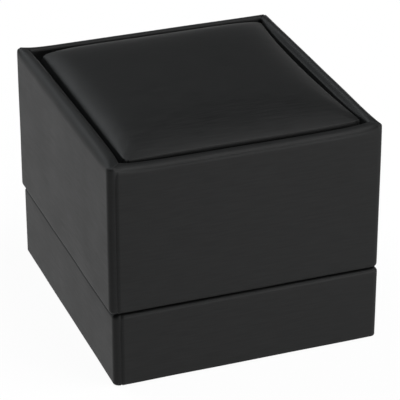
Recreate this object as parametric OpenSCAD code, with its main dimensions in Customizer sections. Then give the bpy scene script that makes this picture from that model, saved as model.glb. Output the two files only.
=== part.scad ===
// Ring display box: a board box covered in black satin leatherette, with a padded
// top let into the lid, a spring hinge at the back and a slotted ring pad inside.
// Millimetres. +Z is up, the front faces -Y, and the origin is the middle of the
// face that the box stands on. The box is drawn closed.

/* [Box] */
// Outside width of the lid, side to side
box_w = 56; // [50:1:66]
// Outside depth, front to back
box_d = 60; // [54:1:70]
// Height of the lid's rim above the rest face
box_h = 47.5; // [45:0.5:60]
// Height of the middle of the seam between base and lid
seam_h = 15.8; // [14.5:0.1:20]
// Gap along the seam between the two coverings
seam_gap = 0.2; // [0.1:0.05:0.4]
// How far each side of the base stands inside the lid's side
side_step = 0.2; // [0:0.05:0.3]
// Radius of the upright outside corners
corner_r = 0.9; // [0.8:0.1:1.2]
// Radius of the rim's outer edge
rim_r = 1.7; // [1.2:0.05:1.8]
// Radius of the rim's inner edge, along the mouth of the recess
mouth_r = 0.6; // [0.5:0.05:0.7]
// Radius of the covering along the seam and round the foot
seam_r = 0.5; // [0.4:0.05:0.7]

/* [Boards and covering] */
// Thickness of the wall, floor and top boards
board_t = 1.6; // [1.4:0.1:2]
// Thickness of the leatherette covering
wrap_t = 0.4; // [0.3:0.05:0.5]
// Width of the covering that is turned in over an edge and glued down
turn_in = 8; // [6:0.5:9]
// Thickness of the paper sheet under the base
foot_t = 0.3; // [0.2:0.05:0.5]
// Distance from the outside of the base to the edge of that sheet
foot_inset = 1.5; // [1:0.25:3]

/* [Lid cushion] */
// Depth of the recess in the lid's top, rim to board
recess_depth = 3.9; // [3.5:0.1:6]
// Dark gap between the rim and the cushion
cushion_gap = 1; // [0.6:0.1:1.4]
// Height of the cushion's side, up to where its crown starts
cushion_side = 3.4; // [3:0.1:5]
// Rise of the cushion's crown above its side
cushion_rise = 2.4; // [1.5:0.1:5]
// How far the middle of each side is drawn in
cushion_draw = 0.3; // [0.1:0.05:0.6]
// Thickness of the card that the cushion is built on
cushion_card_t = 1; // [0.8:0.1:1.4]
// Width of the cover that is turned under the card
cushion_hem = 7; // [5:0.5:10]

/* [Inside of the lid] */
// Thickness of the card that lines the lid's walls
liner_t = 0.8; // [0.6:0.1:1.2]
// Thickness of the card that carries the satin pad
lid_card_t = 1; // [0.8:0.1:1.4]
// Height of the satin pad's side
lid_pad_side = 1; // [0.6:0.1:2]
// Rise of the satin pad's crown
lid_pad_rise = 2.2; // [1:0.1:3]

/* [Collar and ring pad] */
// Height of the collar above the seam
collar_proud = 5; // [4:0.25:7]
// Clearance between the collar and the lid's covering
collar_gap = 0.5; // [0.4:0.05:0.8]
// Thickness of the collar's card
collar_card_t = 1.2; // [1:0.1:1.6]
// Thickness of the suede paper on the collar
suede_t = 0.3; // [0.2:0.05:0.4]
// Thickness of the card under the ring pads
pad_card_t = 1; // [0.8:0.1:1.4]
// Clearance of the pads from the collar
pad_gap = 0.3; // [0.2:0.05:0.5]
// Slot between the two pads, where the ring stands
ring_slot = 0.8; // [0.5:0.1:1.5]
// Height of a ring pad's side
pad_side = 10.5; // [8:0.5:11]
// Rise of a ring pad's crown
pad_rise = 5; // [3:0.25:6]
// How far the middle of a pad's long side is drawn in
pad_draw = 0.4; // [0.1:0.05:0.8]

/* [Hinge] */
// Width of the hinge
hinge_w = 34; // [30:1:40]
// Height of each leaf from the pin's axis
leaf_h = 5; // [4.6:0.1:5.3]
// Thickness of the leaves' steel
leaf_t = 0.4; // [0.35:0.05:0.5]
// Radius of the hinge pin
pin_r = 0.55; // [0.45:0.05:0.65]
// Running clearance between the pin and the rolled knuckles
pin_clear = 0.04; // [0.02:0.01:0.08]
// Length of an outer knuckle, on the base's leaf
outer_knuckle = 6; // [5:0.5:7]
// Length of an inner knuckle, on the lid's leaf
inner_knuckle = 5.8; // [4.8:0.2:6.2]
// End gap between two knuckles
knuckle_gap = 0.2; // [0.1:0.05:0.3]
// Angle that the lid opens to
open_angle = 95; // [90:1:105]
// Free angle left between the back bevels when the lid is open
open_slack = 2; // [1:0.5:4]
// Width of the bow spring
spring_w = 8; // [6:0.5:8.5]
// Thickness of the bow spring
spring_t = 0.3; // [0.25:0.05:0.4]
// How far the bow's middle stands in from its ends
spring_bow = 0.65; // [0.4:0.05:1]
// Length of the lips that the spring hooks over
lip_len = 1.1; // [0.9:0.1:1.4]
// Distance of each tack from the end of the leaf
tack_edge = 3; // [2:0.25:4]
// Distance of each tack from the pin's axis
tack_z = 3.1; // [2.9:0.1:3.3]
// Radius of a tack's shank
tack_r = 0.5; // [0.4:0.05:0.6]
// Radius of a tack's head
tack_head_r = 1.1; // [0.9:0.1:1.3]
// Length of a tack in the board
tack_len = 1.2; // [0.9:0.1:1.2]

/* [Hidden] */
$fn = 48;

// A cut runs this far past the face that it opens
over = 1;
// Clearance of small pieces from their neighbours
fit_gap = 0.1;
// Clearance of a tack in its board
tack_fit = 0.02;
// Clearance under the lid's lining
liner_gap = 0.3;

// Levels, from the rest face up
base_bottom = foot_t;
base_floor = base_bottom + wrap_t + board_t;
base_top = seam_h - seam_gap / 2;
lid_bottom = seam_h + seam_gap / 2;
collar_top = seam_h + collar_proud;
liner_bottom = seam_h + max(collar_proud, leaf_h + spring_t) + liner_gap;
recess_floor = box_h - recess_depth;
lid_ceiling = recess_floor - board_t;
// Radius of the boards' outer edge under the rim
board_rim_r = min(rim_r - wrap_t, board_t - fit_gap);

// Plan sizes
base_w = box_w - 2 * side_step;
wall_t = board_t + wrap_t;
lid_in_w = box_w - 2 * wall_t;
base_in_w = base_w - 2 * wall_t;
in_d = box_d - 2 * wall_t;

// Hinge: the pin's axis runs along X at hinge_y, seam_h
bore_r = pin_r + pin_clear;
knuckle_r = bore_r + leaf_t;
// The leaf's plate is set this far outside the rolled knuckle's inner face
roll_lap = 0.02;
plate_out = bore_r - roll_lap;
plate_in = plate_out + leaf_t;
hinge_y = in_d / 2 + plate_out;
bevel_angle = (open_angle + open_slack) / 2;
notch_gap = 0.25;
notch_w = hinge_w + 4 * notch_gap;
lip_reach = plate_in + lip_len;
leg_z = leaf_h + fit_gap / 2;
bow_y = lip_reach + fit_gap + spring_t;
spring_reach = bow_y + spring_bow;

// Collar, seen from above
collar_t = collar_card_t + 2 * suede_t;
collar_w = lid_in_w - 2 * wrap_t - 2 * collar_gap;
collar_front = -in_d / 2 + wrap_t + collar_gap;
collar_back = hinge_y - spring_reach - collar_gap;

// Ring pads, side by side between the collar's walls
pads_w = collar_w - 2 * collar_t - 2 * pad_gap;
pads_front = collar_front + collar_t + pad_gap;
pads_back = collar_back - collar_t - pad_gap;
pad_d = (pads_back - pads_front - ring_slot) / 2;
pad_foot = base_floor + pad_card_t;

// Cushion in the recess
cushion_w = lid_in_w - 2 * wrap_t - 2 * cushion_gap;
cushion_d = in_d - 2 * wrap_t - 2 * cushion_gap;
foam_slack = 0.05;

// Forms of the crowns, as [how wide the level middle is, how upright the edge is]:
// the cushion is drawn tight over firm foam, and the inner pads are softer
tight_crown = [8, 0.5];
soft_crown = [3, 0.75];

// Pads inside the lid
liner_w = lid_in_w - 2 * wrap_t;
liner_d = in_d - 2 * wrap_t;
lid_pad_w = liner_w - 2 * liner_t - 2 * pad_gap;
lid_pad_d = liner_d - 2 * liner_t - 2 * pad_gap;

leatherette = [0.18, 0.19, 0.19];
greyboard = [0.62, 0.6, 0.56];
white_card = [0.86, 0.85, 0.82];
foam = [0.93, 0.91, 0.84];
suede = [0.1, 0.1, 0.1];
satin = [0.92, 0.9, 0.85];
steel = [0.72, 0.7, 0.66];

// ---- Outlines and blocks ----

// Points along an arc, both ends included
function arc(cx, cy, r, from, to, steps = 6) =
    [for (i = [0 : steps])
        let (a = from + (to - from) * i / steps)
        [cx + r * cos(a), cy + r * sin(a)]];

// A rectangle w wide between the heights low and high, with its corners rounded
function bead_outline(w, low, high, r_low, r_high) = concat(
    arc(w / 2 - r_low, low + r_low, r_low, -90, 0),
    arc(w / 2 - r_high, high - r_high, r_high, 0, 90),
    arc(-w / 2 + r_high, high - r_high, r_high, 90, 180),
    arc(-w / 2 + r_low, low + r_low, r_low, 180, 270));

// A rectangle w wide between the heights low and high, with its upper corners rounded
function cap_outline(w, low, high, r) = concat(
    [[-w / 2, low], [w / 2, low]],
    arc(w / 2 - r, high - r, r, 0, 90),
    arc(-w / 2 + r, high - r, r, 90, 180));

// A slot w wide that flares at its mouth, at the height high, along a rounded edge
function mouth_outline(w, low, high, r) = concat(
    [[-w / 2, low], [w / 2, low]],
    arc(w / 2 + r, high - r, r, 180, 90),
    [[w / 2 + r, high + over], [-w / 2 - r, high + over]],
    arc(-w / 2 - r, high - r, r, 90, 0));

// A block that stands on the plan's middle
module block(w, d, low, high) {
    translate([-w / 2, -d / 2, low])
        cube([w, d, high - low]);
}

// Four walls, t thick, round the plan from y0 to y1
module walls(w, y0, y1, t, low, high) {
    difference() {
        translate([-w / 2, y0, low])
            cube([w, y1 - y0, high - low]);
        translate([-w / 2 + t, y0 + t, low - over])
            cube([w - 2 * t, y1 - y0 - 2 * t, high - low + 2 * over]);
    }
}

// An outline in the YZ plane, drawn out along X
module along_x(length) {
    rotate([90, 0, 90])
        linear_extrude(length, center = true)
            children();
}

// An outline in the XZ plane, drawn out along Y
module along_y(length) {
    rotate([90, 0, 0])
        linear_extrude(length, center = true)
            children();
}

// Outside of one half of the box
module outer_form(w, low, high, r_low, r_high) {
    intersection() {
        along_x(w + 2 * over)
            polygon(bead_outline(box_d, low, high, r_low, r_high));
        along_y(box_d + 2 * over)
            polygon(bead_outline(w, low, high, r_low, r_high));
        translate([0, 0, low - over])
            linear_extrude(high - low + 2 * over)
                polygon(bead_outline(w, -box_d / 2, box_d / 2, corner_r, corner_r));
    }
}

// The wedge cut from the back edge, so that the lid can swing over. up is 1 for
// the lid and -1 for the base, and inset moves the cut into the board.
module back_bevel(up, inset) {
    reach = box_d / 2 - hinge_y + over;
    apex_y = hinge_y - inset * sin(bevel_angle);
    apex_z = inset * cos(bevel_angle);
    top_z = apex_z + reach * tan(bevel_angle);
    translate([0, 0, seam_h])
        along_x(box_w + 2 * over)
            polygon([[apex_y, -up * over], [apex_y, up * apex_z],
                [apex_y + reach, up * top_z], [apex_y + reach, -up * over]]);
}

// Room for the rolled knuckles in both back walls
module barrel_notch() {
    translate([0, hinge_y, seam_h])
        rotate([0, 90, 0])
            cylinder(h = notch_w, r = knuckle_r + notch_gap, center = true);
}

// Room for one leaf in the covering that is turned in at the back
module leaf_window(up) {
    window_h = leaf_h + notch_gap;
    translate([-notch_w / 2, in_d / 2 - wrap_t - fit_gap, seam_h + (up > 0 ? 0 : -window_h)])
        cube([notch_w, wrap_t + fit_gap, window_h]);
}

// Places of the tacks on one leaf
module at_tacks(up) {
    for (side = [-1, 1])
        translate([side * (hinge_w / 2 - tack_edge), in_d / 2, seam_h + up * tack_z])
            children();
}

// A round hole or shank along Y, from y = start to y = start + length
module along_back(r, start, length) {
    translate([0, start, 0])
        rotate([-90, 0, 0])
            cylinder(h = length, r = r);
}

// ---- Soft forms ----

// Grid places, closer together near the two edges
function places(n) = [for (i = [0 : n]) sin(90 * (2 * i / n - 1))];

// Share of the crown's rise at u, v, which run from -1 to 1. A higher first number of
// the form widens the level middle, and a lower second one makes the edge rounder.
function crown(u, v, form) =
    pow(max(0, (1 - pow(abs(u), form[0])) * (1 - pow(abs(v), form[0]))), form[1]);

// A closed pillow: upright sides, drawn in at their middles, under a crowned top
module pillow(w, d, side, rise, draw, form = soft_crown, n = 16) {
    g = places(n);
    m = n + 1;
    top = [for (v = g) for (u = g)
        [u * (w / 2 - draw * (1 - v * v)), v * (d / 2 - draw * (1 - u * u)),
            side + rise * crown(u, v, form)]];
    ring = concat([for (i = [0 : n - 1]) i], [for (j = [0 : n - 1]) n + j * m],
        [for (i = [0 : n - 1]) n * m + n - i], [for (j = [0 : n - 1]) (n - j) * m]);
    foot = [for (k = ring) [top[k][0], top[k][1], 0]];
    f0 = len(top);
    r = len(ring);
    middle = f0 + r;
    polyhedron(points = concat(top, foot, [[0, 0, 0]]), faces = concat(
        [for (j = [0 : n - 1]) for (i = [0 : n - 1])
            [j * m + i, (j + 1) * m + i, (j + 1) * m + i + 1]],
        [for (j = [0 : n - 1]) for (i = [0 : n - 1])
            [j * m + i, (j + 1) * m + i + 1, j * m + i + 1]],
        [for (k = [0 : r - 1]) [ring[k], ring[(k + 1) % r], f0 + (k + 1) % r]],
        [for (k = [0 : r - 1]) [ring[k], f0 + (k + 1) % r, f0 + k]],
        [for (k = [0 : r - 1]) [middle, f0 + k, f0 + (k + 1) % r]]));
}

// ---- Base ----

// Floor of the base
module base_floor_board() {
    color(greyboard)
        block(base_in_w, in_d, base_bottom + wrap_t, base_floor);
}

// A front or back board, which runs the full width of the box
module cross_board(w, side, low, high) {
    translate([0, side * (in_d + board_t) / 2, 0])
        block(w - 2 * wrap_t, board_t, low, high);
}

// A side board, which stands between the front and back boards
module side_board(in_w, side, low, high) {
    translate([side * (in_w + board_t) / 2, 0, 0])
        block(board_t, in_d, low, high);
}

module base_front_board() {
    color(greyboard)
        cross_board(base_w, -1, base_bottom + wrap_t, base_top - wrap_t);
}

// The back board is bevelled along the seam, notched for the hinge's barrel and
// drilled for its tacks
module base_back_board() {
    color(greyboard)
        difference() {
            cross_board(base_w, 1, base_bottom + wrap_t, base_top - wrap_t);
            back_bevel(-1, wrap_t);
            barrel_notch();
            at_tacks(-1)
                along_back(tack_r + tack_fit, -over, tack_len + fit_gap + over);
        }
}

module base_left_board() {
    color(greyboard)
        side_board(base_in_w, -1, base_bottom + wrap_t, base_top - wrap_t);
}

module base_right_board() {
    color(greyboard)
        side_board(base_in_w, 1, base_bottom + wrap_t, base_top - wrap_t);
}

// One sheet of leatherette round the four walls, turned in over their top edge and
// under the floor
module base_wrap() {
    color(leatherette)
        difference() {
            outer_form(base_w, base_bottom, base_top, seam_r, seam_r);
            walls(base_w - 2 * wrap_t, -box_d / 2 + wrap_t, box_d / 2 - wrap_t, board_t,
                base_bottom + wrap_t, base_top - wrap_t);
            block(base_in_w - 2 * wrap_t, in_d - 2 * wrap_t, base_floor - board_t, base_top + over);
            block(base_in_w, in_d, base_floor - board_t, base_top - turn_in);
            block(base_w - 2 * turn_in, box_d - 2 * turn_in, base_bottom - over, base_floor);
            back_bevel(-1, 0);
            barrel_notch();
            leaf_window(-1);
        }
}

// Paper sheet that the box stands on
module base_bottom_sheet() {
    color(suede)
        block(base_w - 2 * foot_inset, box_d - 2 * foot_inset, 0, foot_t);
}

// Strip of card folded into a collar, which stands up into the lid
module collar_card() {
    color(white_card)
        walls(collar_w - 2 * suede_t, collar_front + suede_t, collar_back - suede_t,
            collar_card_t, base_floor, collar_top - suede_t);
}

// Suede paper over the outside, the top edge and the inside of the collar
module collar_suede() {
    color(suede)
        difference() {
            walls(collar_w, collar_front, collar_back, collar_t, base_floor, collar_top);
            walls(collar_w - 2 * suede_t, collar_front + suede_t, collar_back - suede_t,
                collar_card_t, base_floor - over, collar_top - suede_t);
        }
}

// Card that both ring pads are glued to
module ring_pad_card() {
    color(white_card)
        translate([0, (pads_front + pads_back) / 2, 0])
            block(pads_w, pads_back - pads_front, base_floor, pad_foot);
}

// One of the two pads that hold the ring between them
module ring_pad(middle_y) {
    color(suede)
        translate([0, middle_y, pad_foot])
            pillow(pads_w, pad_d, pad_side, pad_rise, pad_draw);
}

module ring_pad_front() {
    ring_pad(pads_front + pad_d / 2);
}

module ring_pad_rear() {
    ring_pad(pads_back - pad_d / 2);
}

// ---- Hinge ----

// A knuckle from x0 to x1, rolled from a tongue of the leaf. up is 1 for the lid's
// leaf and -1 for the base's.
module knuckle(x0, x1, up) {
    translate([(x0 + x1) / 2, hinge_y, seam_h])
        along_x(x1 - x0) {
            circle(knuckle_r);
            translate([-plate_in, up > 0 ? 0 : -knuckle_r - notch_gap])
                square([leaf_t, knuckle_r + notch_gap]);
        }
}

// The leaf's flat plate, and the lip that the spring hooks over
module leaf_plate(up) {
    plate_h = leaf_h - knuckle_r - notch_gap / 2;
    low = up > 0 ? leaf_h - plate_h : -leaf_h;
    translate([-hinge_w / 2, hinge_y - plate_in, seam_h + low])
        cube([hinge_w, leaf_t, plate_h]);
    translate([-spring_w / 2 - 2 * fit_gap, hinge_y - lip_reach,
            seam_h + (up > 0 ? leaf_h - leaf_t : -leaf_h)])
        cube([spring_w + 4 * fit_gap, lip_len + leaf_t / 2, leaf_t]);
}

// A stamped steel leaf: plate, lip and a knuckle on each side of the middle
module hinge_leaf(up, x0, x1) {
    color(steel)
        difference() {
            union() {
                leaf_plate(up);
                knuckle(x0, x1, up);
                knuckle(-x1, -x0, up);
            }
            translate([0, hinge_y, seam_h])
                rotate([0, 90, 0])
                    cylinder(h = hinge_w + 2 * over, r = bore_r, center = true);
            at_tacks(up)
                along_back(tack_r + fit_gap, -plate_in, leaf_t + plate_in);
        }
}

module hinge_base_leaf() {
    hinge_leaf(-1, hinge_w / 2 - outer_knuckle, hinge_w / 2);
}

module hinge_lid_leaf() {
    outer_end = hinge_w / 2 - outer_knuckle - knuckle_gap;
    hinge_leaf(1, outer_end - inner_knuckle, outer_end);
}

// Pin through all four knuckles, with its ends just outside them
module hinge_pin() {
    color(steel)
        translate([0, hinge_y, seam_h])
            rotate([0, 90, 0])
                cylinder(h = hinge_w + notch_gap, r = pin_r, center = true);
}

// Bow spring. Its two hooks draw the leaves' lips together, across the pin, so the
// lid snaps shut from less than half open and snaps open from more.
module hinge_spring() {
    half = leg_z + spring_t;
    bow_r = (half * half + spring_bow * spring_bow) / (2 * spring_bow);
    color(steel)
        translate([0, hinge_y, seam_h])
            along_x(spring_w) {
                intersection() {
                    difference() {
                        translate([-spring_reach + bow_r, 0])
                            circle(bow_r, $fn = 180);
                        translate([-spring_reach + bow_r, 0])
                            circle(bow_r - spring_t, $fn = 180);
                    }
                    translate([-spring_reach - over, -half])
                        square([spring_reach, 2 * half]);
                }
                for (end = [-1, 1])
                    translate([-bow_y - spring_t / 2, end * leg_z - (end < 0 ? spring_t : 0)])
                        square([lip_len + spring_t, spring_t]);
            }
}

// Two tacks that fix one leaf to its back board
module tacks(up) {
    color(steel)
        at_tacks(up) {
            along_back(tack_r, -leaf_t - fit_gap / 2, tack_len + leaf_t + fit_gap / 2);
            along_back(tack_head_r, -leaf_t - tack_r / 2, tack_r / 2);
        }
}

module hinge_base_tacks() {
    tacks(-1);
}

module hinge_lid_tacks() {
    tacks(1);
}

// ---- Lid ----

// Outside of the lid's four boards, with their outer top edge rounded under the rim
module lid_board_form() {
    intersection() {
        along_x(box_w)
            polygon(cap_outline(in_d + 2 * board_t, lid_bottom + wrap_t, box_h - wrap_t,
                board_rim_r));
        along_y(box_d)
            polygon(cap_outline(lid_in_w + 2 * board_t, lid_bottom + wrap_t, box_h - wrap_t,
                board_rim_r));
    }
}

module lid_front_board() {
    color(greyboard)
        intersection() {
            cross_board(box_w, -1, lid_bottom + wrap_t, box_h - wrap_t);
            lid_board_form();
        }
}

module lid_back_board() {
    color(greyboard)
        difference() {
            intersection() {
                cross_board(box_w, 1, lid_bottom + wrap_t, box_h - wrap_t);
                lid_board_form();
            }
            back_bevel(1, wrap_t);
            barrel_notch();
            at_tacks(1)
                along_back(tack_r + tack_fit, -over, tack_len + fit_gap + over);
        }
}

module lid_left_board() {
    color(greyboard)
        intersection() {
            side_board(lid_in_w, -1, lid_bottom + wrap_t, box_h - wrap_t);
            lid_board_form();
        }
}

module lid_right_board() {
    color(greyboard)
        intersection() {
            side_board(lid_in_w, 1, lid_bottom + wrap_t, box_h - wrap_t);
            lid_board_form();
        }
}

// Board between the four walls, which makes the floor of the recess
module lid_top_board() {
    color(greyboard)
        block(lid_in_w, in_d, lid_ceiling, recess_floor);
}

// Room above the recess floor, between the turned-in coverings, with a rounded rim
module recess_room() {
    intersection() {
        along_x(box_w)
            polygon(mouth_outline(in_d - 2 * wrap_t, recess_floor, box_h, mouth_r));
        along_y(box_d)
            polygon(mouth_outline(lid_in_w - 2 * wrap_t, recess_floor, box_h, mouth_r));
    }
}

// One sheet of leatherette round the four walls, turned over the rim down into the
// recess, and in over the lower edge
module lid_wrap() {
    color(leatherette)
        difference() {
            outer_form(box_w, lid_bottom, box_h, seam_r, rim_r);
            difference() {
                lid_board_form();
                block(lid_in_w, in_d, lid_bottom, box_h);
            }
            recess_room();
            block(lid_in_w, in_d, lid_bottom + turn_in, recess_floor);
            block(lid_in_w - 2 * wrap_t, in_d - 2 * wrap_t, lid_bottom - over, recess_floor);
            back_bevel(1, 0);
            barrel_notch();
            leaf_window(1);
        }
}

// Card that the cushion is built on
module cushion_card() {
    card_w = cushion_w - 2 * wrap_t - 2 * cushion_draw - 2 * fit_gap;
    card_d = cushion_d - 2 * wrap_t - 2 * cushion_draw - 2 * fit_gap;
    color(white_card)
        block(card_w, card_d, recess_floor + wrap_t, recess_floor + wrap_t + cushion_card_t);
}

// Foam that fills the cover above the card
module cushion_foam() {
    inset = 2 * wrap_t + 2 * foam_slack;
    color(foam)
        translate([0, 0, recess_floor + wrap_t + cushion_card_t])
            pillow(cushion_w - inset, cushion_d - inset,
                cushion_side - 2 * wrap_t - cushion_card_t - foam_slack, cushion_rise,
                cushion_draw, tight_crown);
}

// Satin leatherette drawn over the foam and turned under the card
module cushion_cover() {
    color(leatherette)
        difference() {
            translate([0, 0, recess_floor])
                pillow(cushion_w, cushion_d, cushion_side, cushion_rise, cushion_draw,
                    tight_crown);
            translate([0, 0, recess_floor + wrap_t])
                pillow(cushion_w - 2 * wrap_t, cushion_d - 2 * wrap_t,
                    cushion_side - 2 * wrap_t, cushion_rise, cushion_draw, tight_crown);
            block(cushion_w - 2 * cushion_hem, cushion_d - 2 * cushion_hem,
                recess_floor - over, recess_floor + cushion_side / 2);
        }
}

// Card that lines the lid's walls above the collar
module lid_liner() {
    color(satin)
        walls(liner_w, -liner_d / 2, liner_d / 2, liner_t, liner_bottom, lid_ceiling);
}

// Card that the satin pad is built on
module lid_pad_card() {
    color(white_card)
        block(lid_pad_w, lid_pad_d, lid_ceiling - lid_card_t, lid_ceiling);
}

// Satin pad that faces the ring when the box is closed
module lid_pad() {
    color(satin)
        translate([0, 0, lid_ceiling - lid_card_t])
            rotate([180, 0, 0])
                pillow(lid_pad_w, lid_pad_d, lid_pad_side, lid_pad_rise, pad_draw);
}

base_floor_board();
base_front_board();
base_back_board();
base_left_board();
base_right_board();
base_wrap();
base_bottom_sheet();
collar_card();
collar_suede();
ring_pad_card();
ring_pad_front();
ring_pad_rear();
hinge_base_leaf();
hinge_pin();
hinge_spring();
hinge_base_tacks();
lid_front_board();
lid_back_board();
lid_left_board();
lid_right_board();
lid_top_board();
lid_wrap();
cushion_card();
cushion_foam();
cushion_cover();
lid_liner();
lid_pad_card();
lid_pad();
hinge_lid_leaf();
hinge_lid_tacks();
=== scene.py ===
import math

import bmesh
import bpy
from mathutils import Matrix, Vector, noise
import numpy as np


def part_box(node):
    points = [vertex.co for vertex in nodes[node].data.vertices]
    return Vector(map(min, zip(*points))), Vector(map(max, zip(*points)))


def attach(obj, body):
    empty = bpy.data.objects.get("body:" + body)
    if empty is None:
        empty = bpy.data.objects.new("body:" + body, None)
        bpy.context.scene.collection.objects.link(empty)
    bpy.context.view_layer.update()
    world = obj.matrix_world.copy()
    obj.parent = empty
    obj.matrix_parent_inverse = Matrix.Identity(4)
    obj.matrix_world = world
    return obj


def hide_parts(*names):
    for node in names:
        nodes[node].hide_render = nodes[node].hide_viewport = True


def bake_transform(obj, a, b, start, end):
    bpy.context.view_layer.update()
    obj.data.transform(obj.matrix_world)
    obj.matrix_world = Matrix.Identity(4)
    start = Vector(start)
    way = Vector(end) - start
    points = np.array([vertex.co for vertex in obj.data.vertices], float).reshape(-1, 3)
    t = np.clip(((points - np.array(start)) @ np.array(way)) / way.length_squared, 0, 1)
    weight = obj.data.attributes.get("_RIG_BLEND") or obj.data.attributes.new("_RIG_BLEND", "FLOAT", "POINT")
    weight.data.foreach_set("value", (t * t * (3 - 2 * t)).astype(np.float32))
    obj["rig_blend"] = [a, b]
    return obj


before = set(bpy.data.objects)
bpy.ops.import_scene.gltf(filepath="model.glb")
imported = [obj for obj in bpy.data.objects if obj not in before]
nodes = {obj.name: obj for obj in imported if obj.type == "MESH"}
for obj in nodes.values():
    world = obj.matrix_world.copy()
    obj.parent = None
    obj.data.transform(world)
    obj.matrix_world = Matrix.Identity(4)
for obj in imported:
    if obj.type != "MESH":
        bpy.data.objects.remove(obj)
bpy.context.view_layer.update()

# ---- Boards of the base and the lid ----
# Grey pulp board, cut square and glued up with the front and back boards running the
# full width. The covering hides it, apart from the notch for the hinge at the back.

# Grey pulp with paler and darker fibres, in linear colour, and the fibres' relief in metres
BOARD_GREY = (0.33, 0.31, 0.27, 1)
BOARD_DARK_FIBRE = (0.16, 0.15, 0.13, 1)
BOARD_FIBRES_PER_METRE = 900
BOARD_FIBRE_DEPTH = 0.00004
FIBRE_STRETCH = (1, 0.35, 1)
PULP_ROUGH = 0.85
# Metres taken off each outer corner with sandpaper
SANDED = 0.0009
# Points closer than this, in metres, are one, and faces that turn less than this are flat
SAME_SPOT = 0.000001
SAME_PLANE = math.radians(1)


def new_finish(name, roughness):
    """A material, its node tree and its shader, ready for a finish of its own."""
    material = bpy.data.materials.new(name)
    material.use_nodes = True
    tree = material.node_tree
    shader = tree.nodes["Principled BSDF"]
    shader.inputs["Roughness"].default_value = roughness
    return material, tree, shader


def add(tree, kind, values=None, **settings):
    """One shader node with its settings and its sockets' values."""
    made = tree.nodes.new(kind)
    for name, value in settings.items():
        setattr(made, name, value)
    for name, value in (values or {}).items():
        made.inputs[name].default_value = value
    return made


def speckle(tree, coordinates, scale, detail, stretch=(1, 1, 1)):
    """Noise along the coordinates given, stretched along the axis with the low number."""
    mapping = add(tree, "ShaderNodeMapping", {"Scale": stretch})
    tree.links.new(coordinates, mapping.inputs["Vector"])
    made = add(tree, "ShaderNodeTexNoise", {"Scale": scale, "Detail": detail})
    tree.links.new(mapping.outputs["Vector"], made.inputs["Vector"])
    return made.outputs["Fac"]


def two_tone(tree, share, low, high, dark, light):
    """Colour that goes from dark to light as share goes from low to high."""
    ramp = add(tree, "ShaderNodeValToRGB")
    ramp.color_ramp.elements[0].position = low
    ramp.color_ramp.elements[0].color = dark
    ramp.color_ramp.elements[1].position = high
    ramp.color_ramp.elements[1].color = light
    tree.links.new(share, ramp.inputs["Fac"])
    return ramp.outputs["Color"]


def spread(tree, share, low, high):
    """A number that goes from low to high as share goes over the noise's usual range."""
    made = add(tree, "ShaderNodeMapRange",
               {"From Min": 0.3, "From Max": 0.7, "To Min": low, "To Max": high})
    tree.links.new(share, made.inputs["Value"])
    return made.outputs["Result"]


def emboss(tree, shader, *heights):
    """Relief on the shader, one layer for each (height, depth in metres)."""
    below = None
    for height, depth in heights:
        bump = add(tree, "ShaderNodeBump", {"Strength": 1.0, "Distance": depth})
        tree.links.new(height, bump.inputs["Height"])
        if below:
            tree.links.new(below, bump.inputs["Normal"])
        below = bump.outputs["Normal"]
    tree.links.new(below, shader.inputs["Normal"])


def pulp_board(name, dark, light, per_metre, depth):
    """Board, card, paper or foam with its fibres or cells."""
    material, tree, shader = new_finish(name, PULP_ROUGH)
    place = add(tree, "ShaderNodeTexCoord").outputs["Object"]
    fibres = speckle(tree, place, per_metre, 6, stretch=FIBRE_STRETCH)
    tree.links.new(two_tone(tree, fibres, 0.35, 0.6, dark, light), shader.inputs["Base Color"])
    emboss(tree, shader, (fibres, depth))
    return material


def dress(material, *names):
    """Gives CAD nodes their finish."""
    for name in names:
        slots = nodes[name].data.materials
        slots.clear()
        slots.append(material)


grey_board = pulp_board("grey_board", BOARD_DARK_FIBRE, BOARD_GREY,
                        BOARD_FIBRES_PER_METRE, BOARD_FIBRE_DEPTH)
dress(grey_board, "base_floor_board", "base_front_board", "base_back_board",
      "base_left_board", "base_right_board", "lid_top_board", "lid_back_board",
      "lid_left_board", "lid_right_board")


def sand_corners(piece):
    """Rounds the corners of a board, so that the covering lies flat on them."""
    sanded = piece.modifiers.new("sanded_corners", "BEVEL")
    sanded.width = SANDED
    sanded.segments = 3


# The board's faces are joined and flattened first, so that its corners can be rounded
joined = nodes["base_front_board"].modifiers.new("joined_faces", "WELD")
joined.merge_threshold = SAME_SPOT
flat = nodes["base_front_board"].modifiers.new("flat_faces", "DECIMATE")
flat.decimate_type = "DISSOLVE"
flat.angle_limit = SAME_PLANE
sand_corners(nodes["base_front_board"])

# ---- Covering of the base ----
# One sheet of black satin leatherette paper glued round the four walls, turned in over
# their top edge and under the floor. Its corners are folded, and a fine brushed grain
# runs round the box.

MM = 0.001

# Leatherette: nearly black, with a satin face that is rougher across the grain
LEATHER_BLACK = (0.0060, 0.0063, 0.0064, 1)
LEATHER_WORN = (0.0094, 0.0097, 0.0097, 1)
LEATHER_GLOSS = 0.15
LEATHER_STRETCH = 0.3
LEATHER_SMOOTH, LEATHER_ROUGH = 0.505, 0.545
GRAIN_ROUGH = 0.03
QUARTER_TURN = 0.25
# Its brushed grain, clouds and flecks: how many to the metre, and their relief in metres
GRAIN_PER_METRE, GRAIN_DEPTH = 2600, 0.000010
CLOUD_PER_METRE, CLOUD_DEPTH = 110, 0.00002
FLECK_PER_METRE, FLECK_DEPTH = 1500, 0.000004
GRAIN_LENGTHENED = (0.07, 1, 1)

# The sheet, in millimetres
SHEET_T = 0.4
WALL_T = 2.0 + SHEET_T
# Radius of the corners: right front, right back, left back, left front
CORNER_RS = (1.0, 1.0, 1.0, 1.3)
FOLD_R = 0.45
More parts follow.
